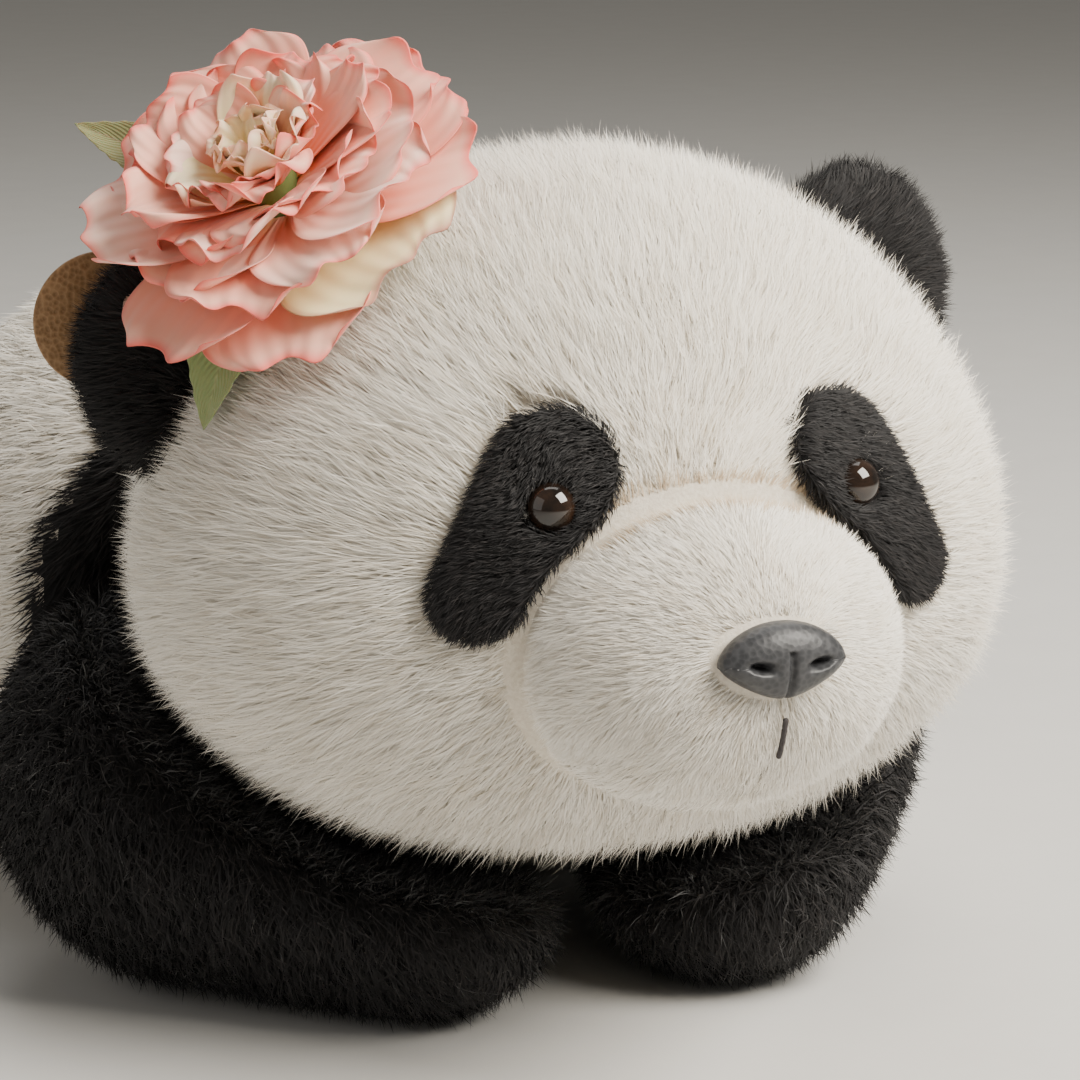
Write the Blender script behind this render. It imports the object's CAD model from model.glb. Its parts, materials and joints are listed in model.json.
"""Looks of the lying plush panda with its clip-on peony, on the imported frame. Metres, +Z up, facing -Y."""

import json
import math

import bmesh
import bpy
import numpy as np
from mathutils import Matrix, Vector
from mathutils.bvhtree import BVHTree


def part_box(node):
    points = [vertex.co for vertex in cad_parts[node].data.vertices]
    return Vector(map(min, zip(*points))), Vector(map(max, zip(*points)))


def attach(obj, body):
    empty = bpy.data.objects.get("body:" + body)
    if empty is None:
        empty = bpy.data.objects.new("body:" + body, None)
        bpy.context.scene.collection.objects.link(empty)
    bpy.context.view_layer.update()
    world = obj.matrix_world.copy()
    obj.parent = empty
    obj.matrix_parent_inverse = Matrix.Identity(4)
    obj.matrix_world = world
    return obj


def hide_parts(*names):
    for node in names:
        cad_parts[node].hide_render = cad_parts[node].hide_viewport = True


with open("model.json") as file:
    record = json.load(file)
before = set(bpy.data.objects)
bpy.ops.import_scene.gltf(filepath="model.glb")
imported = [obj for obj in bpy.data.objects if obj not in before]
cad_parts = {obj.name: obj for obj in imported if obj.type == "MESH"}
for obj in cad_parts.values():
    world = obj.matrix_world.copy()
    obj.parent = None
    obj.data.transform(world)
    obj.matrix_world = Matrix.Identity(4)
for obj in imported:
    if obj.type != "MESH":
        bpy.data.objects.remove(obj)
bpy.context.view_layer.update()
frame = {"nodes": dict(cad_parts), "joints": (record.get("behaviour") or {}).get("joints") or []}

MM = 0.001
NODES = frame["nodes"]
JOINTS = {joint["name"]: joint for joint in frame["joints"]}
SIDES = (("left", 1), ("right", -1))
SHARE = 1.0  # of the strands that are grown
STRANDS_PER_PIECE = 60000
SKIN_INSET = 9.0 * MM  # the head's cloth below the tips of its long pile
MUZZLE_INSET = 4.2 * MM  # the same for the muzzle's short pile


# ---------------------------------------------------------------- places taken from the frame
def corners(node):
    """Lowest and highest corner of a CAD node, in metres."""
    low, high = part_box(node)
    return np.array(low), np.array(high)


def middle(node):
    """Centre of a CAD node's box."""
    low, high = corners(node)
    return (low + high) / 2


def unit(vectors):
    """Vectors along the last axis, each made one long."""
    length = np.linalg.norm(vectors, axis=-1, keepdims=True)
    return vectors / np.maximum(length, 1e-12)


HEAD = np.array(JOINTS["head_turn"]["pos_m"])
HEAD_LOW, HEAD_HIGH = corners("head_cover")
HEAD_HALF = np.array([HEAD_HIGH[0], HEAD_HIGH[1] - HEAD[1], HEAD_HIGH[2] - HEAD[2]])
HEAD_DOWN = HEAD[2] - HEAD_LOW[2]
BROW = HEAD[2] + 24 * MM  # above this the muzzle's seam is tan
NOSE = middle("nose")
MUZZLE_HALF = np.array([57, 54, 46]) * MM  # half of the muzzle's egg, pile and all
MUZZLE = np.array([0, corners("muzzle_cover")[0][1] + MUZZLE_HALF[1], HEAD[2] - 6 * MM])
EYES = {side: middle(f"{name}_eye_white") for name, side in SIDES}
FLOWER_AXIS = unit(np.array(JOINTS["flower_lift"]["axis"]))
HEART = middle("peony_heart")
BAND_BACK = corners("shoulder_band")[1][1]


def head_sizes(upward):
    """The head's half sizes for each point: its lower half is less high than its upper half."""
    count = len(upward)
    height = np.where(upward > 0, HEAD_HALF[2], HEAD_DOWN)
    return np.stack([np.full(count, HEAD_HALF[0]), np.full(count, HEAD_HALF[1]), height], 1)


def head_level(points):
    """How far out points are, 1 being the head's surface."""
    offset = points - HEAD
    return np.linalg.norm(offset / head_sizes(offset[:, 2]), axis=1)


def head_out(place):
    """The way out of the head through a place on it."""
    return unit((place - HEAD) / HEAD_HALF**2)


def muzzle_level(points):
    """How far out points are, 1 being the muzzle's surface."""
    return np.linalg.norm((points - MUZZLE) / MUZZLE_HALF, axis=1)


# ---------------------------------------------------------------- materials
def new_material(name):
    """An empty node material and its Principled node."""
    material = bpy.data.materials.new(name)
    material.use_nodes = True
    return material, material.node_tree.nodes["Principled BSDF"]


def set_inputs(node, **values):
    """Sets a node's inputs, with _ for the spaces in their names."""
    for key, value in values.items():
        node.inputs[key.replace("_", " ")].default_value = value


def rgba(colour):
    """A colour with its alpha."""
    return (*colour, 1.0)


def pile(name, colour, roughness=0.75, sheen=0.25):
    """Fibre of one shade."""
    material, shader = new_material(name)
    set_inputs(
        shader, Base_Color=rgba(colour), Roughness=roughness, Sheen_Weight=sheen, Sheen_Roughness=0.5,
        Specular_IOR_Level=0.25,
    )
    return material


def ramp_node(tree, factor, stops):
    """A colour ramp fed by a factor; stops are (position, colour)."""
    ramp = tree.nodes.new("ShaderNodeValToRGB")
    elements = ramp.color_ramp.elements
    while len(elements) < len(stops):
        elements.new(0.5)
    for element, (position, colour) in zip(elements, stops):
        element.position = position
        element.color = rgba(colour)
    tree.links.new(factor, ramp.inputs["Fac"])
    return ramp


def textured(
    name, stops, scale, roughness, bump, distance, sheen=0.0, texture="NOISE", coat=0.0, specular=0.4
):
    """Material whose colour and bump come from one fine texture in object space."""
    material, shader = new_material(name)
    tree = material.node_tree
    where = tree.nodes.new("ShaderNodeTexCoord")
    if texture == "NOISE":
        pattern = tree.nodes.new("ShaderNodeTexNoise")
        set_inputs(pattern, Scale=scale, Detail=6.0, Roughness=0.6)
        factor = pattern.outputs["Fac"]
    elif texture == "CELLS":
        pattern = tree.nodes.new("ShaderNodeTexVoronoi")
        set_inputs(pattern, Scale=scale)
        factor = pattern.outputs["Distance"]
    else:
        pattern = tree.nodes.new("ShaderNodeTexWave")
        set_inputs(pattern, Scale=scale, Distortion=1.5, Detail=2.0)
        factor = pattern.outputs["Fac"]
    tree.links.new(where.outputs["Object"], pattern.inputs["Vector"])
    ramp = ramp_node(tree, factor, stops)
    tree.links.new(ramp.outputs["Color"], shader.inputs["Base Color"])
    bumps = tree.nodes.new("ShaderNodeBump")
    set_inputs(bumps, Strength=bump, Distance=distance)
    tree.links.new(factor, bumps.inputs["Height"])
    tree.links.new(bumps.outputs["Normal"], shader.inputs["Normal"])
    set_inputs(
        shader, Roughness=roughness, Sheen_Weight=sheen, Coat_Weight=coat, Specular_IOR_Level=specular
    )
    return material


RIM_STOPS = ((0.0, (0, 0, 0)), (0.62, (0, 0, 0)), (1.0, (1, 1, 1)))  # the edge's colour starts at 0.62


def attribute_node(tree, key):
    """A node that reads one of the mesh's own values."""
    node = tree.nodes.new("ShaderNodeAttribute")
    node.attribute_name = key
    return node


def petal_material(name, stops, edge, vein_scale=26.0):
    """Dyed cloth, coloured from the root to the edge of each petal, with fine pressed veins."""
    material, shader = new_material(name)
    tree = material.node_tree
    along, across, rim = (attribute_node(tree, key) for key in ("along", "across", "rim"))
    ramp = ramp_node(tree, along.outputs["Fac"], stops)
    rim_ramp = ramp_node(tree, rim.outputs["Fac"], RIM_STOPS)
    mix = tree.nodes.new("ShaderNodeMix")
    mix.data_type = "RGBA"
    tree.links.new(rim_ramp.outputs["Color"], mix.inputs["Factor"])
    tree.links.new(ramp.outputs["Color"], mix.inputs["A"])
    mix.inputs["B"].default_value = rgba(edge)
    tree.links.new(mix.outputs["Result"], shader.inputs["Base Color"])
    veins = tree.nodes.new("ShaderNodeMath")
    veins.operation = "MULTIPLY"
    veins.inputs[1].default_value = vein_scale
    tree.links.new(across.outputs["Fac"], veins.inputs[0])
    wave = tree.nodes.new("ShaderNodeMath")
    wave.operation = "SINE"
    tree.links.new(veins.outputs[0], wave.inputs[0])
    bumps = tree.nodes.new("ShaderNodeBump")
    set_inputs(bumps, Strength=0.35, Distance=0.0004)
    tree.links.new(wave.outputs[0], bumps.inputs["Height"])
    tree.links.new(bumps.outputs["Normal"], shader.inputs["Normal"])
    set_inputs(
        shader, Roughness=0.62, Sheen_Weight=0.2, Specular_IOR_Level=0.3, Subsurface_Weight=0.15,
        Subsurface_Scale=0.004,
    )
    return material


WHITE = [
    pile("pile_white_light", (0.93, 0.89, 0.81)),
    pile("pile_white_mid", (0.88, 0.83, 0.74)),
    pile("pile_white_warm", (0.80, 0.73, 0.62)),
    pile("pile_seam_tan", (0.62, 0.49, 0.34)),
]
SEAM_SHADE = 3  # the tan's place in WHITE
LONG_PILE_SHADES = (0.42, 0.36, 0.22)  # shares of light, mid and warm strands
BLACK = [
    pile("pile_black_mid", (0.012, 0.011, 0.012), 0.6, 0.12),
    pile("pile_black_deep", (0.006, 0.0055, 0.006), 0.6, 0.08),
    pile("pile_black_soft", (0.024, 0.021, 0.021), 0.65, 0.2),
]
BACKING_WHITE = textured(
    "backing_white", ((0.3, (0.62, 0.55, 0.45)), (0.7, (0.78, 0.72, 0.62))), 900, 0.9, 0.5, 0.0006, 0.2
)
BACKING_BLACK = textured(
    "backing_black", ((0.3, (0.004, 0.004, 0.004)), (0.7, (0.012, 0.011, 0.011))), 900, 0.9, 0.5, 0.0006, 0.05
)


# ---------------------------------------------------------------- meshes
def link(name, mesh, body, *materials):
    """A mesh as an object that rides on a body."""
    piece = bpy.data.objects.new(name, mesh)
    bpy.context.scene.collection.objects.link(piece)
    for material in materials:
        mesh.materials.append(material)
    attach(piece, body)
    return piece


def triangle_mesh(name, points, triangles, slots=None, normals=None):
    """Mesh from arrays of points and triangles."""
    mesh = bpy.data.meshes.new(name)
    mesh.vertices.add(len(points))
    mesh.vertices.foreach_set("co", points.astype(np.float32).ravel())
    mesh.loops.add(triangles.size)
    mesh.loops.foreach_set("vertex_index", triangles.astype(np.int32).ravel())
    mesh.polygons.add(len(triangles))
    mesh.polygons.foreach_set("loop_start", np.arange(0, triangles.size, 3, dtype=np.int32))
    if slots is not None:
        mesh.polygons.foreach_set("material_index", slots.astype(np.int32))
    mesh.update(calc_edges=True)
    mesh.shade_smooth()
    if normals is not None:
        mesh.normals_split_custom_set_from_vertices(normals.astype(np.float32))
    return mesh


def applied(piece):
    """The piece with its modifiers made part of its mesh."""
    bpy.context.view_layer.update()
    depsgraph = bpy.context.evaluated_depsgraph_get()
    mesh = bpy.data.meshes.new_from_object(piece.evaluated_get(depsgraph))
    piece.modifiers.clear()
    piece.data = mesh
    return piece


def skin_from(name, node, body, swell, voxel, material):
    """Cloth under the pile: a CAD solid, rounded off and swelled."""
    mesh = NODES[node].data.copy()
    mesh.materials.clear()
    piece = bpy.data.objects.new(name, mesh)
    bpy.context.scene.collection.objects.link(piece)
    weld = piece.modifiers.new("weld", "WELD")
    weld.merge_threshold = 0.02 * MM
    remesh = piece.modifiers.new("remesh", "REMESH")
    remesh.mode = "VOXEL"
    remesh.voxel_size = voxel
    remesh.use_smooth_shade = True
    smooth = piece.modifiers.new("smooth", "SMOOTH")
    smooth.factor = 0.6
    smooth.iterations = 10
    grow = piece.modifiers.new("swell", "DISPLACE")
    grow.mid_level = 0.0
    grow.strength = swell
    applied(piece)
    piece.data.materials.clear()
    piece.data.materials.append(material)
    piece.data.shade_smooth()
    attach(piece, body)
    return piece


def ball(name, body, material, level, shape):
    """Skin made from a fine ball; shape moves its points from the unit ball to their places."""
    shaper = bmesh.new()
    bmesh.ops.create_icosphere(shaper, subdivisions=level, radius=1.0)
    points = np.array([vertex.co for vertex in shaper.verts])
    for vertex, place in zip(shaper.verts, shape(points)):
        vertex.co = place
    mesh = bpy.data.meshes.new(name)
    shaper.to_mesh(mesh)
    shaper.free()
    mesh.shade_smooth()
    return link(name, mesh, body, material)


def triples(items, key, kind):
    """Three values of each item of a mesh as the rows of an array."""
    values = np.empty(len(items) * 3, kind)
    items.foreach_get(key, values)
    return values.reshape(-1, 3)


def scatter(piece, per_mm2, seed):
    """Random points over a piece at so many to the square millimetre, with their smooth normals."""
    rng = np.random.default_rng(seed)
    mesh = piece.data
    mesh.calc_loop_triangles()
    points = triples(mesh.vertices, "co", np.float32).astype(float)
    normals = triples(mesh.vertices, "normal", np.float32).astype(float)
    corner = triples(mesh.loop_triangles, "vertices", np.int32)
    a, b, c = points[corner[:, 0]], points[corner[:, 1]], points[corner[:, 2]]
    area = np.linalg.norm(np.cross(b - a, c - a), axis=1) / 2
    count = int(area.sum() / MM**2 * per_mm2 * SHARE)
    chosen = rng.choice(len(area), count, p=area / area.sum())
    share = rng.random((count, 2))
    over = share.sum(axis=1) > 1
    share[over] = 1 - share[over]
    weights = np.stack([1 - share.sum(axis=1), share[:, 0], share[:, 1]], 1)[:, :, None]
    roots = (points[corner[chosen]] * weights).sum(axis=1)
    out = unit((normals[corner[chosen]] * weights).sum(axis=1))
    return roots, out


def tree_of(mesh):
    """Search tree of a mesh."""
    places = [vertex.co for vertex in mesh.vertices]
    return BVHTree.FromPolygons(places, [polygon.vertices for polygon in mesh.polygons])


# ---------------------------------------------------------------- pile
# Strands to the square millimetre of each skin, and the pile's full length in millimetres.
DENSITY = {
    "head": 2.3, "patch": 5.5, "muzzle": 4.6, "trunk": 0.85, "foreleg": 1.15, "hind_leg": 0.8, "tail": 1.0,
    "neck": 0.7, "sole": 2.5, "ear": 3.0,
}
LENGTH = {
    "patch": 5.2, "trunk": 14, "shoulder": 12, "leg": 11.0, "tail": 13, "neck": 6, "sole": 4.0, "ear": 10.5,
}


def cell_values(points, size, seed):
    """Three numbers from -0.5 to 0.5 for each cell of a cubic grid, shared by the points in it."""
    cells = np.floor(points / size).astype(np.int64)
    # Large odd numbers mix the cell's three counts, so that neighbours share nothing.
    key = cells[:, 0] * 73856093 + cells[:, 1] * 19349663 + cells[:, 2] * 83492791 + seed * 7919
    values = []
    for turn in range(3):
        mixed = (key * (2654435761 + 2 * turn)) & 0xFFFFFFFF
        mixed ^= mixed >> 15
        mixed = (mixed * 2246822519) & 0xFFFFFFFF
        mixed ^= mixed >> 13
        values.append(mixed / 2**32 - 0.5)
    return np.stack(values, 1), (cells + 0.5) * size


def sway(points, wavelength, seed):
    """A smooth vector that changes over a wavelength."""
    rng = np.random.default_rng(seed)
    total = np.zeros_like(points)
    for _ in range(5):
        wave = unit(rng.normal(size=3)) * (2 * math.pi / wavelength) * rng.uniform(0.6, 1.6)
        phase = rng.uniform(0, 2 * math.pi)
        total += np.sin(points @ wave + phase)[:, None] * rng.normal(size=3)
    return total / 5


STRAND_POINTS = 5  # two at the root, two at the bend and the tip
STRAND_TRIANGLES = np.array([(0, 1, 3), (0, 3, 2), (2, 3, 4)])
BEND_WIDTH = 0.8  # of the root's width


def tangent(vectors, normals):
    """The part of the vectors that lies along the surface."""
    return vectors - normals * (vectors * normals).sum(axis=1, keepdims=True)


def fur(
    name, body, roots, normals, comb, length, materials, seed, lean=0.6, width=0.29, clump=7.0, pull=0.25,
    jitter=0.12, shade=None, floor=0.6,
):
    """Pile: one bent, tapered ribbon for each root. Lengths, widths and tuft sizes are in millimetres.

    lean is 0 for upright pile and 1 for pile laid along the comb, pull draws the tips together in tufts,
    jitter loosens them, and no strand goes below the floor's height.
    """
    rng = np.random.default_rng(seed)
    count = len(roots)
    length = np.broadcast_to(length, count) * MM * rng.uniform(0.75, 1.12, count)
    lean = np.broadcast_to(lean, count)[:, None]
    flow = unit(tangent(comb + sway(roots, 42 * MM, seed + 1) * 0.55, normals) + 1e-9)
    loose = rng.normal(size=(count, 3)) * jitter
    first = unit(normals * (1.05 - lean) + flow * lean + loose)
    second = unit(normals * (1.0 - lean) * 0.55 + flow * (lean + 0.25) + loose * 1.4)
    bend = roots + first * (length * 0.5)[:, None]
    tip = bend + second * (length * 0.5)[:, None]
    offset, centres = cell_values(roots + sway(roots, 19 * MM, seed + 2) * 3 * MM, clump * MM, seed)
    gather = tangent(centres + offset * clump * MM * 0.8 - roots, normals) * pull
    bend = bend + gather * 0.35
    tip = tip + gather
    bend[:, 2] = np.maximum(bend[:, 2], floor * MM)
    tip[:, 2] = np.maximum(tip[:, 2], floor * MM)
    across = unit(np.cross(first, normals * 0.7 + rng.normal(size=(count, 3)) * 0.5))
    half = across * (width * MM / 2 * rng.uniform(0.7, 1.25, count))[:, None]
    flat = unit(np.cross(across, first))
    flat *= np.where((flat * normals).sum(axis=1, keepdims=True) < 0, -1.0, 1.0)
    shading = unit(normals * 0.75 + flat * 0.4)
    turned = (np.cross(half, first) * normals).sum(axis=1) < 0
    half[turned] *= -1
    if shade is None:
        shade = rng.integers(0, min(3, len(materials)), count)
    for part, begin in enumerate(range(0, count, STRANDS_PER_PIECE)):
        rows = slice(begin, min(count, begin + STRANDS_PER_PIECE))
        some = len(roots[rows])
        points = np.stack(
            [
                roots[rows] - half[rows], roots[rows] + half[rows],
                bend[rows] - half[rows] * BEND_WIDTH, bend[rows] + half[rows] * BEND_WIDTH, tip[rows],
            ],
            1,
        )
        triangles = (np.arange(some)[:, None, None] * STRAND_POINTS + STRAND_TRIANGLES).reshape(-1, 3)
        mesh = triangle_mesh(
            f"{name}_{part + 1}", points.reshape(-1, 3), triangles,
            np.repeat(shade[rows], len(STRAND_TRIANGLES)), np.repeat(shading[rows], STRAND_POINTS, axis=0),
        )
        link(f"{name}_{part + 1}", mesh, body, *materials)


def rough_shade(roots, seed, weights=(0.5, 0.3, 0.2)):
    """A shade for each strand, partly shared by tufts."""
    rng = np.random.default_rng(seed)
    tuft, _ = cell_values(roots, 5 * MM, seed)
    value = np.clip(tuft[:, 0] * 0.5 + rng.normal(size=len(roots)) * 0.28 + 0.5, 0, 0.999)
    edges = np.cumsum(weights)
    return np.searchsorted(edges, value).clip(0, 2)


# ---------------------------------------------------------------- head
FACE_DEPTH = 20 * MM  # the face's points are more than this before the head's middle
RAY_START = 0.3  # well before the face


def in_patch(points, name):
    """Which points lie behind or before an eye patch, seen along Y."""
    low, high = corners(f"{name}_eye_patch")
    tree = tree_of(NODES[f"{name}_eye_patch"].data)
    found = (points[:, 0] > low[0]) & (points[:, 0] < high[0])
    found &= (points[:, 2] > low[2]) & (points[:, 2] < high[2]) & (points[:, 1] < HEAD[1] - FACE_DEPTH)
    for index in np.nonzero(found)[0]:
        start = Vector((points[index, 0], HEAD[1] - RAY_START, points[index, 2]))
        found[index] = tree.ray_cast(start, Vector((0, 1, 0)))[0] is not None
    return found


def head_skin_shape(points):
    """Unit ball to the cloth of the head."""
    return HEAD + points * (head_sizes(points[:, 2]) - SKIN_INSET)


head_skin = ball("head_skin", "head", BACKING_WHITE, 6, head_skin_shape)
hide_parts("head_cover", "head_stuffing")


def muzzle_skin_shape(points):
    """Unit ball to the muzzle's cloth: fuller in the lower cheeks, with a shallow groove between them."""
    places = MUZZLE + points * (MUZZLE_HALF - MUZZLE_INSET)
    cheek = np.exp(-((np.abs(points[:, 0]) - 0.45) ** 2) / 0.08 - (points[:, 2] + 0.35) ** 2 / 0.12)
    places[:, 1] -= cheek * (points[:, 1] < 0) * 2.0 * MM
    groove = np.exp(-(points[:, 0] ** 2) / 0.006) * (points[:, 2] < -0.1) * (points[:, 2] > -0.75)
    places[:, 1] += groove * (points[:, 1] < 0) * 1.6 * MM
    return places


muzzle_skin = ball("muzzle_skin", "head", BACKING_WHITE, 6, muzzle_skin_shape)
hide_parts("muzzle_cover", "muzzle_stuffing")


def head_flow(points):
    """How the head's pile is combed: away from the nose, up the crown, down the cheeks."""
    away = points - (NOSE + np.array([0, 0, 6 * MM]))
    flow = unit(away)
    offset = (points - HEAD) / HEAD_HALF
    flow[:, 2] -= 0.55 * np.clip(0.25 - offset[:, 2], 0, 1)
    flow[:, 1] += 0.35
    return flow


def grow_head():
    """Long white pile all over the head, short where it meets the muzzle, and the black eye patches."""
    roots, normals = scatter(head_skin, DENSITY["head"], 11)
    level = muzzle_level(roots)
    keep = level > 1.0
    under_chin = roots[:, 2] < HEAD[2] - 66 * MM
    keep &= ~under_chin | (np.random.default_rng(5).random(len(roots)) < 0.4)
    roots, normals, level = roots[keep], normals[keep], level[keep]
    white = ~(in_patch(roots, "left") | in_patch(roots, "right"))
    gap = (level - 1) * 50  # from the muzzle's seam, in about millimetres
    ramp = np.clip(gap / 40, 0, 1)
    length = 7 + 9.5 * ramp * ramp * (3 - 2 * ramp)
    offset = roots - HEAD
    length += 2.5 * np.clip(-offset[:, 2] / (60 * MM), 0, 1)
    shade = rough_shade(roots, 3, LONG_PILE_SHADES)
    shade[(gap < 1.3) & (roots[:, 2] > BROW)] = SEAM_SHADE
    length[gap < 3] *= 0.75
    lean = 0.62 - 0.2 * np.clip(offset[:, 2] / (110 * MM), 0, 1) ** 2
    fur(
        "head_fur", "head", roots[white], normals[white], head_flow(roots[white]), length[white], WHITE, 21,
        lean=lean[white], shade=shade[white],
    )
    for name, side in SIDES:
        ours, out = scatter(patches[side], DENSITY["patch"], 31 + side)
        clear = np.linalg.norm(ours - EYES[side], axis=1) > 7.5 * MM
        front = (out[:, 1] < -0.15) | (np.abs(out[:, 0]) > 0.4)
        ours, out = ours[clear & front], out[clear & front]
        comb = unit(ours - NOSE) * 0.6 + np.array([0.3 * side, 0.2, -0.9])
        fur(
            f"{name}_eye_patch_fur", "head", ours, out, comb, LENGTH["patch"], BLACK, 41 + side, lean=0.5,
            width=0.34, clump=4, shade=rough_shade(ours, 7),
        )


patches = {}
for name, side in SIDES:
    patches[side] = skin_from(
        f"{name}_eye_patch_skin", f"{name}_eye_patch", "head", -0.4 * MM, 0.9 * MM, BACKING_BLACK
    )
    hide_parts(f"{name}_eye_patch")


def grow_muzzle():
    """Short cream pile, combed away from the nose."""
    roots, normals = scatter(muzzle_skin, DENSITY["muzzle"], 12)
    outside = head_level(roots) > 0.985
    offset = roots - NOSE
    under_nose = (np.abs(offset[:, 0]) / 18.0 / MM) ** 2 + (np.abs(offset[:, 2]) / 10.5 / MM) ** 2 < 1
    under_nose &= roots[:, 1] < NOSE[1] + 25 * MM
    keep = outside & ~under_nose
    roots, normals = roots[keep], normals[keep]
    gap = (head_level(roots) - 1) * 110  # from the head's surface, in about millimetres
    shade = rough_shade(roots, 9, (0.55, 0.35, 0.1))
    shade[(gap < 0.7) & (roots[:, 2] > BROW)] = SEAM_SHADE
    comb = unit(roots - (NOSE + np.array([0, 0, 4 * MM]))) + np.array([0, 0.3, -0.05])
    near = np.clip(np.linalg.norm(roots - NOSE, axis=1) / (34 * MM), 0.25, 1)
    fur(
        "muzzle_fur", "head", roots, normals, comb, 3.0 + 3.4 * near, WHITE, 22, lean=0.62, width=0.24,
        clump=5, pull=0.12, jitter=0.1, shade=shade,
    )


grow_head()
grow_muzzle()


# ---------------------------------------------------------------- face hardware
EYE_DARK = textured(
    "eye_gloss", ((0.35, (0.006, 0.004, 0.003)), (0.75, (0.03, 0.016, 0.010))), 160, 0.06, 0.02, 0.0001,
    coat=0.35, specular=0.5,
)
EYE_PALE = textured(
    "eye_white_satin", ((0.3, (0.50, 0.50, 0.51)), (0.7, (0.62, 0.62, 0.62))), 300, 0.3, 0.1, 0.0002
)
NOSE_GREY = textured(
    "nose_matt_plastic", ((0.3, (0.030, 0.031, 0.034)), (0.7, (0.05, 0.051, 0.055))), 620, 0.42, 0.35, 0.0003,
    texture="CELLS",
)


EYE_HALF = np.array([6.9, 6.9, 6.4]) * MM
EYE_STANDS_OUT = 0.5 * MM


def make_eye(name, side):
    """Polished dome, a little flatter than half a ball."""
    out = head_out(EYES[side])
    turn = np.array(Vector(out).to_track_quat("Z", "Y").to_matrix())

    def shape(points):
        """Unit ball to the dome, facing out of the head."""
        return EYES[side] + out * EYE_STANDS_OUT + (points * EYE_HALF) @ turn.T

    dome = ball(f"{name}_eye_dome", "head", EYE_DARK, 4, shape)
    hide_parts(f"{name}_eye")


for name, side in SIDES:
    make_eye(name, side)


def nose_shape(points):
    """Unit ball to the nose: wide above, narrow below, two nostrils and a groove between them."""
    low, high = corners("nose")
    half_wide = (high[0] - low[0]) / 2
    half_high = 10.3 * MM
    half_deep = 8.0 * MM
    centre = np.array([0, low[1] + 8.6 * MM, (low[2] + high[2]) / 2 + 0.3 * MM])
    x, y, z = points[:, 0], points[:, 1], points[:, 2]
    taper = np.where(z > 0, 1 - 0.06 * z**2, 1 - 0.42 * np.clip(-z, 0, 1) ** 1.5)
    wide = np.sign(x) * np.abs(x) ** 0.97 * taper
    depth = -np.sign(-y) * np.abs(y) ** 0.85
    nostril_x = np.abs(x) - 0.46
    slant = z + 0.02 - 0.25 * nostril_x
    nostril = np.exp(-(nostril_x**2) / 0.026 - slant**2 / 0.016)
    groove = np.exp(-(x**2) / 0.0022) * (z < 0.35)
    wing = np.exp(-((np.abs(x) - 0.66) ** 2) / 0.05 - (z + 0.15) ** 2 / 0.09)
    front = (y < 0).astype(float)
    inwards = front * (nostril * 5.4 + groove * 1.6 - wing * 0.8) * MM
    place = np.stack([wide * half_wide, depth * half_deep + inwards, z * half_high], 1)
    place[:, 2] += np.where(z > 0, -0.10 * np.abs(x) ** 2 * half_high, 0)
    return centre + place


nose = ball("nose_moulded", "head", NOSE_GREY, 6, nose_shape)
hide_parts("nose")


# ---------------------------------------------------------------- trunk, neck, tail
trunk = skin_from("trunk_skin", "torso_stuffing", "torso", 4.5 * MM, 5 * MM, BACKING_WHITE)
trunk.data.materials.append(BACKING_BLACK)
for polygon in trunk.data.polygons:
    polygon.material_index = int(polygon.center.y < BAND_BACK)
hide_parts("torso_cover", "torso_stuffing", "shoulder_band")


def cloth_body(name, node, covers, body, material, swell=4.0, voxel=4.0):
    """Skin of one stuffed piece that stands for its cover and its filling."""
    piece = skin_from(name, node, body, swell * MM, voxel * MM, material)
    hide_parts(*covers)
    return piece


RAY_LIFT = 0.5 * MM  # rays start this far off their own skin


def exposed(roots, normals, trees, reach):
    """Which roots see no other skin within reach along their normal."""
    free = np.ones(len(roots), bool)
    for tree in trees:
        for index in np.nonzero(free)[0]:
            start = Vector(roots[index] + normals[index] * RAY_LIFT)
            if tree.ray_cast(start, Vector(normals[index]), reach)[0] is not None:
                free[index] = False
    return free


legs = {}
for name, side in SIDES:
    for limb in ("foreleg", "hind_leg"):
        base = f"{name}_{limb}"
        covers = (f"{base}_cover", f"{base}_stuffing")
        legs[base] = cloth_body(f"{base}_skin", covers[1], covers, base, BACKING_BLACK)
tail = cloth_body(
    "tail_skin", "tail_stuffing", ("tail_cover", "tail_stuffing"), "tail", BACKING_WHITE,
    voxel=2.0,
)
collar = cloth_body(
    "neck_skin", "neck_collar", ("neck_collar",), "neck", BACKING_BLACK, swell=-1.5, voxel=2.5
)
SKIN_TREES = {name: tree_of(piece.data) for name, piece in legs.items()}
SKIN_TREES["trunk"] = tree_of(trunk.data)
SKIN_TREES["head"] = tree_of(head_skin.data)


BODY_FLOW = np.array([0.0, 0.75, -0.55])  # back and down
FORELEG_FLOW = np.array([0.0, -0.55, -0.8])  # forwards and down
SOLE_FLOW = np.array([0.0, 0.2, -1.0])


def body_flow(points, side_pull=0.35):
    """How the trunk's and hind legs' pile is combed: back, down and outwards."""
    flow = np.tile(BODY_FLOW, (len(points), 1))
    flow[:, 0] += np.sign(points[:, 0]) * side_pull
    return flow


def bare_roots(piece, own, density, seed, above, reach):
    """Roots and normals on a piece, above a height and with no other skin within reach."""
    roots, normals = scatter(piece, density, seed)
    upper = roots[:, 2] > above * MM
    roots, normals = roots[upper], normals[upper]
    others = [tree for name, tree in SKIN_TREES.items() if name != own]
    free = exposed(roots, normals, others, reach * MM)
    return roots[free], normals[free]


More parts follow.
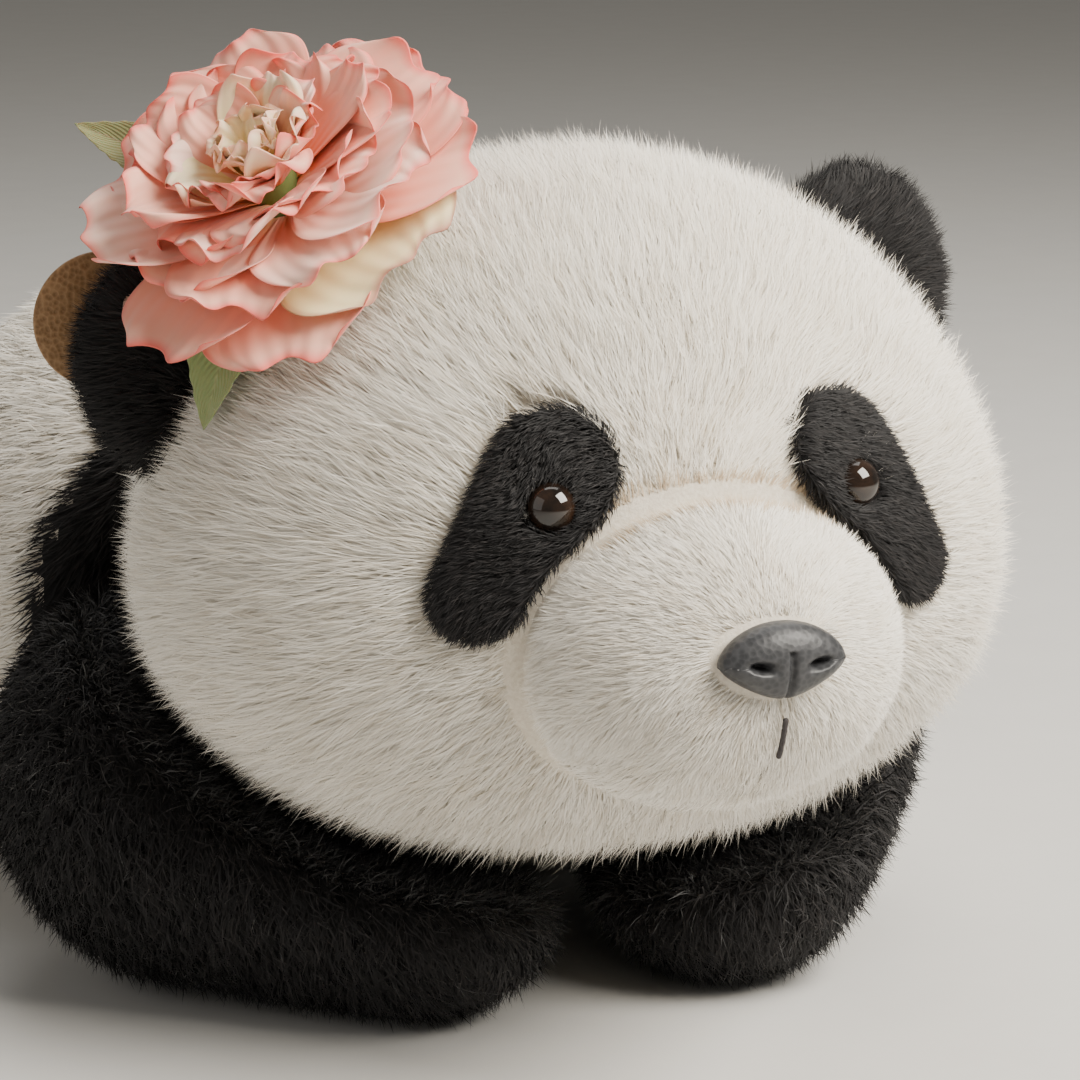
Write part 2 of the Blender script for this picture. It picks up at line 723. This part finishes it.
def grow_trunk():
    """White saddle and rump, black shoulder band."""
    roots, normals = bare_roots(trunk, "trunk", DENSITY["trunk"], 13, 8, 7)
    black = roots[:, 1] + sway(roots, 30 * MM, 4)[:, 0] * 2 * MM < BAND_BACK
    fur(
        "trunk_white_fur", "torso", roots[~black], normals[~black], body_flow(roots[~black]),
        LENGTH["trunk"], WHITE[:3], 23, lean=0.66, width=0.55,
        shade=rough_shade(roots[~black], 2, LONG_PILE_SHADES),
    )
    fur(
        "shoulder_fur", "torso", roots[black], normals[black], body_flow(roots[black]), LENGTH["shoulder"],
        BLACK, 24, lean=0.62, width=0.5, shade=rough_shade(roots[black], 6),
    )


def grow_legs():
    """Dense black pile on all four legs."""
    for index, (base, piece) in enumerate(legs.items()):
        fore = "foreleg" in base
        density = DENSITY["foreleg" if fore else "hind_leg"]
        roots, normals = bare_roots(piece, base, density, 50 + index, 4, 3.5)
        flow = np.tile(FORELEG_FLOW, (len(roots), 1)) if fore else body_flow(roots, 0.2)
        fur(
            f"{base}_fur", base, roots, normals, flow, LENGTH["leg"], BLACK, 60 + index, lean=0.5, width=0.5,
            clump=6, pull=0.45, jitter=0.28, shade=rough_shade(roots, 8 + index),
        )


grow_trunk()
grow_legs()
roots, normals = scatter(tail, DENSITY["tail"], 14)
fur(
    "tail_fur", "tail", roots, normals, body_flow(roots), LENGTH["tail"], WHITE[:3], 25, lean=0.6, width=0.5,
    shade=rough_shade(roots, 5),
)
roots, normals = scatter(collar, DENSITY["neck"], 15)
fur("neck_fur", "neck", roots, normals, body_flow(roots), LENGTH["neck"], BLACK, 26, lean=0.75, width=0.5)

for name, side in SIDES:
    sole = skin_from(
        f"{name}_hind_sole_skin", f"{name}_hind_sole", f"{name}_hind_leg", -1.4 * MM, 1.6 * MM, BACKING_BLACK
    )
    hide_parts(f"{name}_hind_sole")
    roots, normals = scatter(sole, DENSITY["sole"], 70 + side)
    facing_back = normals[:, 1] > -0.2
    roots, normals = roots[facing_back], normals[facing_back]
    fur(
        f"{name}_hind_sole_fur", f"{name}_hind_leg", roots, normals, np.tile(SOLE_FLOW, (len(roots), 1)),
        LENGTH["sole"], [BLACK[2], BLACK[0], BLACK[2]], 72 + side, lean=0.45, width=0.4, clump=4,
    )


# ---------------------------------------------------------------- ears
def ear_frame(name):
    """Centre of a CAD ear, and the directions across it, through it and out of the head."""
    mesh = NODES[f"{name}_ear_cover"].data
    points = np.array([vertex.co for vertex in mesh.vertices])
    centre = (points.max(0) + points.min(0)) / 2
    height = head_out(centre)
    width = unit(np.array(JOINTS[f"{name}_ear_fold"]["axis"]))
    return centre, width, unit(np.cross(height, width)), height


# The right ear is drawn in and made smaller, as the flower lies against it.
EAR_SHIFTS = {1: np.zeros(3), -1: np.array([7.0, -3.0, 0.0]) * MM}
EAR_HALF_WIDTHS = {1: 34, -1: 31}
EAR_HALF_THICK = 11
EAR_EXTRA_HEIGHT = 3
EAR_SINKS = 17 * MM  # from the CAD ear's middle towards the head
EAR_BOWL = 5 * MM  # depth of the hollow in its front

for index, (name, side) in enumerate(SIDES):
    centre, width, back, height = ear_frame(name)
    base = centre - height * EAR_SINKS + EAR_SHIFTS[side]
    half_wide = EAR_HALF_WIDTHS[side]

    def ear_shape(points, base=base, width=width, back=back, height=height, half_wide=half_wide):
        """Unit ball to a thick round disc standing on the head, hollow in front."""
        bowl = EAR_BOWL * np.exp(-(points[:, 0] ** 2 + points[:, 2] ** 2) / 0.3)
        local = points * np.array([half_wide, EAR_HALF_THICK, half_wide + EAR_EXTRA_HEIGHT]) * MM
        in_front = points[:, 1] * back[1] <= 0
        local[:, 1] += bowl * in_front * np.sign(back[1])
        return base + local[:, :1] * width + local[:, 1:2] * back + local[:, 2:] * height

    ear = ball(f"{name}_ear_skin", f"{name}_ear", BACKING_BLACK, 5, ear_shape)
    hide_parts(f"{name}_ear_cover", f"{name}_ear_padding")
    roots, normals = scatter(ear, DENSITY["ear"], 80 + index)
    outside = head_level(roots) > 0.97
    roots, normals = roots[outside], normals[outside]
    comb = (roots - base) * 18 + height * 0.25
    fur(
        f"{name}_ear_fur", f"{name}_ear", roots, normals, comb, LENGTH["ear"], BLACK, 82 + index, lean=0.5,
        width=0.42, clump=5, pull=0.3, shade=rough_shade(roots, 12 + index),
    )


# ---------------------------------------------------------------- peony
PETALS = petal_material(
    "petal_peach",
    (
        (0.0, (0.96, 0.48, 0.18)), (0.28, (0.95, 0.32, 0.19)), (0.65, (0.95, 0.41, 0.30)),
        (1.0, (0.96, 0.50, 0.39)),
    ),
    (0.88, 0.16, 0.13),
)
PETALS_PALE = petal_material(
    "petal_pale",
    ((0.0, (0.95, 0.36, 0.21)), (0.35, (0.96, 0.50, 0.38)), (1.0, (0.98, 0.64, 0.53))),
    (0.90, 0.22, 0.18),
)
PETALS_GREEN = petal_material(
    "petal_guard_green",
    ((0.0, (0.62, 0.60, 0.25)), (0.5, (0.82, 0.74, 0.36)), (1.0, (0.88, 0.72, 0.45))),
    (0.45, 0.22, 0.16),
)
PETALS_HEART = petal_material(
    "petal_heart",
    ((0.0, (0.90, 0.72, 0.25)), (0.5, (0.93, 0.72, 0.38)), (1.0, (0.95, 0.74, 0.55))),
    (0.90, 0.50, 0.36),
)


def grid_mesh(name, places, attributes):
    """Sheet from a grid of places, with a value per point for each named attribute."""
    rows, columns = places.shape[:2]
    mesh = bpy.data.meshes.new(name)
    faces = []
    for row in range(rows - 1):
        for column in range(columns - 1):
            start = row * columns + column
            faces.append((start, start + 1, start + columns + 1, start + columns))
    mesh.from_pydata([tuple(p) for p in places.reshape(-1, 3)], [], faces)
    for key, values in attributes.items():
        layer = mesh.attributes.new(key, "FLOAT", "POINT")
        layer.data.foreach_set("value", values.astype(np.float32).ravel())
    mesh.shade_smooth()
    return mesh


def sheet_grid(rows, columns):
    """Two grids: v from 0 at the root to 1 at the tip, and u from -1 to 1 across."""
    v = np.linspace(0, 1, rows)[:, None] * np.ones((1, columns))
    u = np.linspace(-1, 1, columns)[None, :] * np.ones((rows, 1))
    return v, u


def thicken(piece, thickness):
    """Gives a sheet its thickness and rounds it off."""
    thick = piece.modifiers.new("cloth", "SOLIDIFY")
    thick.thickness = thickness
    fine = piece.modifiers.new("fine", "SUBSURF")
    fine.levels = 1
    fine.render_levels = 1


PETAL_GRID = (15, 15)
PETAL_THICK = 0.35 * MM
WIDEST = 0.62  # where along a petal it is widest
GREEN_GUARDS = (1, 4)  # the guard petals that are still green


def petal_places(spec, angle, rng, side_x, side_y):
    """Grid of places for one ruffled petal, and its along, across and rim values.

    The petal's midrib starts at its tilt from the flower's axis and curls on towards its tip; it is cupped
    across, notched along its edge and ruffled by three waves. Lengths are in millimetres, angles in degrees.
    """
    rows, columns = PETAL_GRID
    v, u = sheet_grid(rows, columns)
    phase = rng.uniform(0, 2 * math.pi, 4)
    long = spec["length"] * rng.uniform(0.9, 1.1)
    wide = spec["width"] * rng.uniform(0.9, 1.12)
    notch = 1 - 0.09 * np.abs(np.sin(3.6 * u + phase[0])) * v**3 - 0.06 * u**4 * v
    spread = 0.22 + 0.78 * np.sin(math.pi / 2 * np.clip(v / WIDEST, 0, 1)) ** 1.1
    spread *= np.sqrt(np.clip(1 - np.clip((v - WIDEST) / 0.46, 0, 1) ** 2.6, 0.0, 1))
    tilt = np.radians(spec["tilt"] + spec["curl"] * v + rng.uniform(-7, 7))
    step = long / (rows - 1)
    out = np.concatenate([np.zeros((1, columns)), np.cumsum(np.sin(tilt[1:]) * step, axis=0)]) * notch
    up = np.concatenate([np.zeros((1, columns)), np.cumsum(np.cos(tilt[1:]) * step, axis=0)]) * notch
    across = u * wide / 2 * spread
    cup = spec["cup"] * (u**2) * spread * wide / 2
    out -= cup * np.cos(tilt)
    up += cup * np.sin(tilt)
    ruffle = spec["ruffle"] * (0.15 + 0.85 * v**2) * (0.35 + 0.65 * np.abs(u) ** 1.5 + 0.5 * v**6)
    wave = np.sin(u * 3.9 + phase[1] + v * 2.2)
    wave = wave + 0.6 * np.sin(u * 8.1 + phase[2] + 3 * v) + 0.5 * np.sin(v * 7.3 * np.sign(u) + phase[3])
    out += -wave * ruffle * np.cos(tilt)
    up += wave * ruffle * np.sin(tilt)
    radial = math.cos(angle) * side_x + math.sin(angle) * side_y
    aside = -math.sin(angle) * side_x + math.cos(angle) * side_y
    roll = rng.uniform(-0.16, 0.16)
    start = HEART + FLOWER_AXIS * (spec["height"] * MM) + radial * (spec["root"] * MM)
    places = (
        start + (out[..., None] * radial + across[..., None] * aside) * MM
        + ((up + across * roll)[..., None] * FLOWER_AXIS) * MM
    )
    rim = np.clip(np.maximum(np.abs(u) ** 3 * (0.4 + 0.6 * v), v**5), 0, 1)
    return places, v * notch, u, rim


SPEC = ("root", "height", "length", "width", "tilt", "curl", "cup", "ruffle")
RINGS = (  # CAD node, petals in the ring, and a petal's SPEC
    ("peony_guard_petals", 9, (9, -20, 50, 54, 84, 10, 0.05, 1.6)),
    ("peony_outer_petals", 11, (8, -18, 46, 44, 68, 14, 0.14, 2.2)),
    ("peony_middle_petals", 13, (6, -15, 38, 35, 48, 24, 0.2, 2.6)),
    ("peony_inner_petals", 13, (4, -12, 29, 26, 28, 30, 0.28, 2.6)),
    ("peony_heart", 11, (2, -8, 19, 17, 8, 30, 0.45, 2.2)),
)


def make_peony():
    """Five rings of ruffled cloth petals round the heart."""
    rng = np.random.default_rng(2024)
    side_x = unit(np.cross(FLOWER_AXIS, np.array([0.0, 0.0, 1.0])))
    side_y = np.cross(FLOWER_AXIS, side_x)
    for index, (node, count, sizes) in enumerate(RINGS):
        spec = dict(zip(SPEC, sizes))
        ring = None
        for petal in range(count):
            angle = 2 * math.pi * (petal + 0.37 * index + rng.uniform(-0.12, 0.12)) / count
            places, along, across, rim = petal_places(spec, angle, rng, side_x, side_y)
            if index == 0:
                material = PETALS_GREEN if petal in GREEN_GUARDS else PETALS
            elif index == 4:
                material = PETALS_HEART
            else:
                material = PETALS_PALE if rng.random() < 0.45 else PETALS
                if index == 3 and petal % 4 == 1:
                    material = PETALS_HEART
            name = f"{node}_{petal + 1}"
            mesh = grid_mesh(name, places, {"along": along, "across": across, "rim": rim})
            piece = link(name, mesh, "flower", material)
            thicken(piece, PETAL_THICK)
            ring = ring or piece
        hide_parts(node)


make_peony()


# ---------------------------------------------------------------- leaves
LEAF_STOPS = ((0.0, (0.16, 0.22, 0.07)), (0.5, (0.24, 0.33, 0.12)), (1.0, (0.30, 0.38, 0.17)))
LEAF_GREEN = petal_material("leaf_green", LEAF_STOPS, (0.34, 0.40, 0.18), 40.0)
LEAF_OLIVE = petal_material(
    "leaf_olive", ((0.0, (0.18, 0.19, 0.07)), (1.0, (0.26, 0.27, 0.11))), (0.24, 0.20, 0.10), 40.0
)


LEAF_GRID = (33, 9)
LEAF_THICK = 0.4 * MM


def make_leaf(node, material, width, droop, stretch=1.08):
    """Serrated leaf with a fold along its midrib, laid along the CAD leaf. Width and droop in millimetres."""
    mesh = NODES[node].data
    points = np.array([vertex.co for vertex in mesh.vertices])
    offset = points - HEART
    out = np.linalg.norm(offset - (offset @ FLOWER_AXIS)[:, None] * FLOWER_AXIS, axis=1)
    tip = points[out > np.quantile(out, 0.9)].mean(0)
    root = points[out < np.quantile(out, 0.1)].mean(0)
    along_axis = (tip - root) * stretch
    aside = unit(np.cross(FLOWER_AXIS, along_axis))
    upward = unit(np.cross(along_axis, aside))
    v, u = sheet_grid(*LEAF_GRID)
    tooth = 1 - 0.16 * (np.abs(u) > 0.9) * ((v * 11) % 1.0)
    profile = np.sin(math.pi * np.clip(v, 0, 1) ** 0.72) ** 0.9 * tooth
    across = u * profile * width / 2 * MM
    fold = np.abs(u) * 0.16 * width * MM * profile - np.sin(v * math.pi) * 0.6 * MM
    sag = droop * MM * v**2
    vein = np.sin((v * 16 - np.abs(u) * 3.2) * math.pi) * 0.28 * MM * (np.abs(u) > 0.05)
    places = (
        root + v[..., None] * along_axis + across[..., None] * aside + (fold + sag + vein)[..., None] * upward
    )
    rim = np.clip(1 - np.abs(u) * 6, 0, 1)
    sheet = grid_mesh(f"{node}_blade", places, {"along": v, "across": v * 3 - np.abs(u), "rim": rim})
    piece = link(f"{node}_blade", sheet, "flower", material)
    thicken(piece, LEAF_THICK)
    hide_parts(node)


make_leaf("peony_large_leaf", LEAF_GREEN, 29, -2, 1.25)
make_leaf("peony_olive_leaf", LEAF_OLIVE, 22, 4)
make_leaf("peony_small_leaf", LEAF_OLIVE, 20, -2, 1.35)


# ---------------------------------------------------------------- CAD nodes that stay
def dress(node, material):
    """Gives a CAD node a better material."""
    for slot in NODES[node].material_slots:
        slot.link = "OBJECT"
        slot.material = material


LEATHER = textured(
    "tag_leather", ((0.3, (0.24, 0.13, 0.055)), (0.7, (0.36, 0.21, 0.10))), 700, 0.55, 0.5, 0.0004,
    texture="CELLS",
)
PLASTIC = textured(
    "washer_plastic", ((0.3, (0.62, 0.61, 0.58)), (0.7, (0.70, 0.69, 0.66))), 500, 0.5, 0.1, 0.0002
)
CALYX = textured(
    "calyx_plastic", ((0.3, (0.14, 0.24, 0.07)), (0.7, (0.20, 0.32, 0.11))), 260, 0.5, 0.3, 0.0004
)
FELT = textured("felt", ((0.3, (0.18, 0.27, 0.14)), (0.7, (0.26, 0.36, 0.20))), 1500, 0.95, 0.7, 0.0006, 0.4)
STEEL = textured(
    "clip_steel", ((0.3, (0.50, 0.50, 0.51)), (0.7, (0.60, 0.60, 0.61))), 300, 0.25, 0.05, 0.0001
)
STEEL.node_tree.nodes["Principled BSDF"].inputs["Metallic"].default_value = 1.0
SATIN = textured(
    "label_satin", ((0.2, (0.80, 0.80, 0.78)), (0.8, (0.90, 0.90, 0.88))), 700, 0.4, 0.3, 0.0002, 0.2,
    texture="WAVE",
)
THREAD = textured(
    "dark_thread", ((0.3, (0.03, 0.025, 0.025)), (0.7, (0.09, 0.08, 0.08))), 1800, 0.8, 0.6, 0.0003,
    texture="WAVE",
)

dress("ear_tag", LEATHER)
dress("peony_calyx", CALYX)
dress("flower_felt", FELT)
dress("care_label", SATIN)
dress("mouth_stitch", THREAD)
for node in ("nose_washer", "left_eye_washer", "right_eye_washer"):
    dress(node, PLASTIC)
for node in ("clip_upper_jaw", "clip_lower_jaw", "clip_pin", "clip_spring"):
    dress(node, STEEL)
for node in ("left_eye_white", "right_eye_white"):
    dress(node, EYE_PALE)


# ---------------------------------------------------------------- floor, light, camera
FLOOR = textured(
    "floor_pale", ((0.3, (0.62, 0.61, 0.59)), (0.7, (0.64, 0.63, 0.61))), 30, 0.8, 0.02, 0.0005
)
FLOOR_HALF = 6
FLOOR_DROP = 0.4 * MM  # keeps the floor clear of the belly
floor_mesh = bpy.data.meshes.new("floor")
floor_corners = [(x * FLOOR_HALF, y * FLOOR_HALF, 0) for x, y in ((-1, -1), (1, -1), (1, 1), (-1, 1))]
floor_mesh.from_pydata(floor_corners, [], [(0, 1, 2, 3)])
floor_mesh.materials.append(FLOOR)
floor = bpy.data.objects.new("floor", floor_mesh)
bpy.context.scene.collection.objects.link(floor)
floor.location.z = -FLOOR_DROP

AZIMUTH = math.radians(-22)
ELEVATION = math.radians(12)
RIGHT = np.array([math.cos(AZIMUTH), math.sin(AZIMUTH), 0])
LEVEL = math.cos(ELEVATION)
BACK = np.array([math.sin(AZIMUTH) * LEVEL, -math.cos(AZIMUTH) * LEVEL, math.sin(ELEVATION)])
UP = np.cross(BACK, RIGHT)
DISTANCE = 1.2  # of the camera from its aim
FRAME_WIDTH = 0.3175  # seen at that distance
SENSOR = 36.0  # millimetres


def aim_from(place, target):
    """Rotation that looks from a place to a target."""
    return (Vector(target) - Vector(place)).to_track_quat("-Z", "Y").to_euler()


def area_light(name, place, target, power, size, colour):
    """Soft square lamp."""
    lamp = bpy.data.lights.new(name, "AREA")
    lamp.energy = power
    lamp.size = size
    lamp.color = colour
    holder = bpy.data.objects.new(name, lamp)
    holder.location = place
    holder.rotation_euler = aim_from(place, target)
    bpy.context.scene.collection.objects.link(holder)


AIM = HEAD - RIGHT * 8.5 * MM + UP * 4.4 * MM
area_light("key", AIM + RIGHT * 1.0 + UP * 1.0 + BACK * 0.75, AIM, 72, 1.0, (1.0, 0.945, 0.85))
area_light("fill", AIM - RIGHT * 1.6 + UP * 0.5 + BACK * 1.0, AIM, 7, 1.6, (1.0, 0.96, 0.91))
area_light("top", AIM + UP * 1.6 - BACK * 0.4, AIM, 13, 1.2, (1.0, 0.98, 0.94))

world = bpy.data.worlds.new("studio")
world.use_nodes = True
set_inputs(world.node_tree.nodes["Background"], Color=rgba((0.50, 0.48, 0.44)), Strength=0.38)
bpy.context.scene.world = world

camera_data = bpy.data.cameras.new("camera")
camera_data.sensor_width = SENSOR
camera_data.lens = SENSOR * DISTANCE / FRAME_WIDTH
camera_data.clip_end = 50.0
camera = bpy.data.objects.new("camera", camera_data)
place = AIM + BACK * DISTANCE
camera.location = place
camera.rotation_euler = aim_from(place, AIM)
bpy.context.scene.collection.objects.link(camera)
bpy.context.scene.camera = camera
